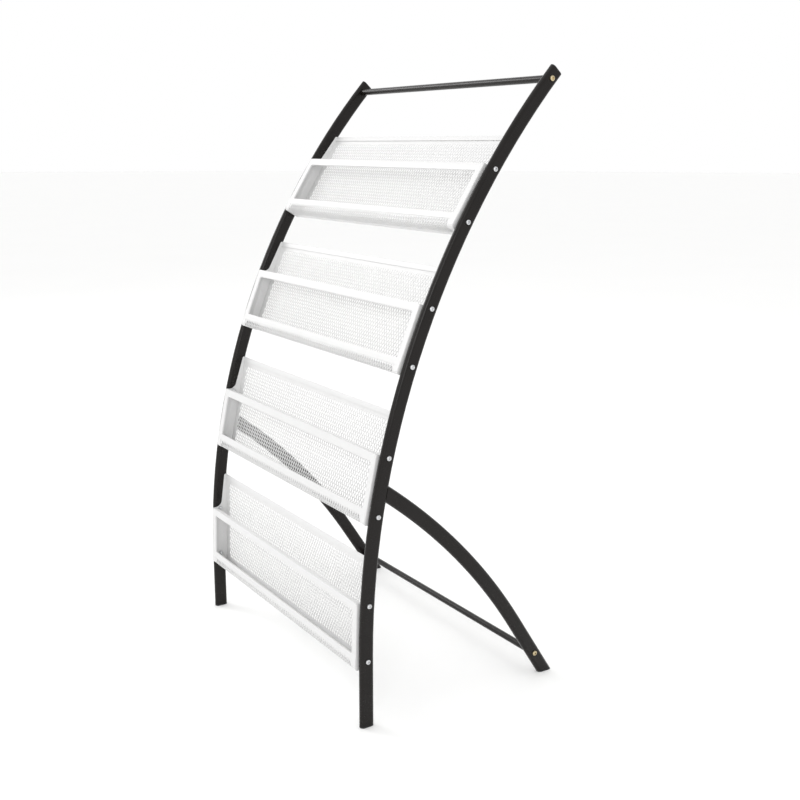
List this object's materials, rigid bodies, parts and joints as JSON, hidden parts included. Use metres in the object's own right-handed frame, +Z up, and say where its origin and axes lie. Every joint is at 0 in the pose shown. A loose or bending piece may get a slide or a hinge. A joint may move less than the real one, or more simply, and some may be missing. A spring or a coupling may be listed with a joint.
{
  "type": "brochure rack",
  "caption": "Free-standing rack that holds brochures face out in leaning mesh pockets between two arched side frames.",
  "frame": {"origin": "on the floor, in the middle of the footprint", "axes": "+X to the rack's right as seen by a person facing it, +Y towards the back, +Z up"},
  "size_m": [0.6064, 0.4084, 1.0602],
  "materials": {
    "black_powder_coat": "semi-gloss powder coat",
    "white_powder_coat": "satin powder coat",
    "black_plastic": "fine matt moulding",
    "bright_zinc": "bright zinc plating",
    "yellow_zinc": "yellow zinc plating"
  },
  "bodies": {
    "root": {"left_upright": "black_powder_coat", "left_rear_leg": "black_powder_coat", "left_top_end_cap": "black_plastic", "left_front_foot": "black_plastic", "left_rear_foot": "black_plastic", "right_upright": "black_powder_coat", "right_rear_leg": "black_powder_coat", "right_top_end_cap": "black_plastic", "right_front_foot": "black_plastic", "right_rear_foot": "black_plastic", "top_cross_tube": "black_powder_coat", "top_tube_inserts": "bright_zinc", "top_tube_screws": "yellow_zinc", "rear_cross_tube": "black_powder_coat", "rear_tube_inserts": "bright_zinc", "rear_tube_screws": "yellow_zinc", "bottom_pocket_left_end_plate": "white_powder_coat", "bottom_pocket_right_end_plate": "white_powder_coat", "bottom_pocket_back_panel": "white_powder_coat", "bottom_pocket_bottom_tray": "white_powder_coat", "bottom_pocket_front_frame": "white_powder_coat", "bottom_pocket_bolts": "bright_zinc", "bottom_pocket_nuts": "bright_zinc", "lower_pocket_left_end_plate": "white_powder_coat", "lower_pocket_right_end_plate": "white_powder_coat", "lower_pocket_back_panel": "white_powder_coat", "lower_pocket_bottom_tray": "white_powder_coat", "lower_pocket_front_frame": "white_powder_coat", "lower_pocket_bolts": "bright_zinc", "lower_pocket_nuts": "bright_zinc", "upper_pocket_left_end_plate": "white_powder_coat", "upper_pocket_right_end_plate": "white_powder_coat", "upper_pocket_back_panel": "white_powder_coat", "upper_pocket_bottom_tray": "white_powder_coat", "upper_pocket_front_frame": "white_powder_coat", "upper_pocket_bolts": "bright_zinc", "upper_pocket_nuts": "bright_zinc", "top_pocket_left_end_plate": "white_powder_coat", "top_pocket_right_end_plate": "white_powder_coat", "top_pocket_back_panel": "white_powder_coat", "top_pocket_bottom_tray": "white_powder_coat", "top_pocket_front_frame": "white_powder_coat", "top_pocket_bolts": "bright_zinc", "top_pocket_nuts": "bright_zinc"}
  },
  "joints": []
}
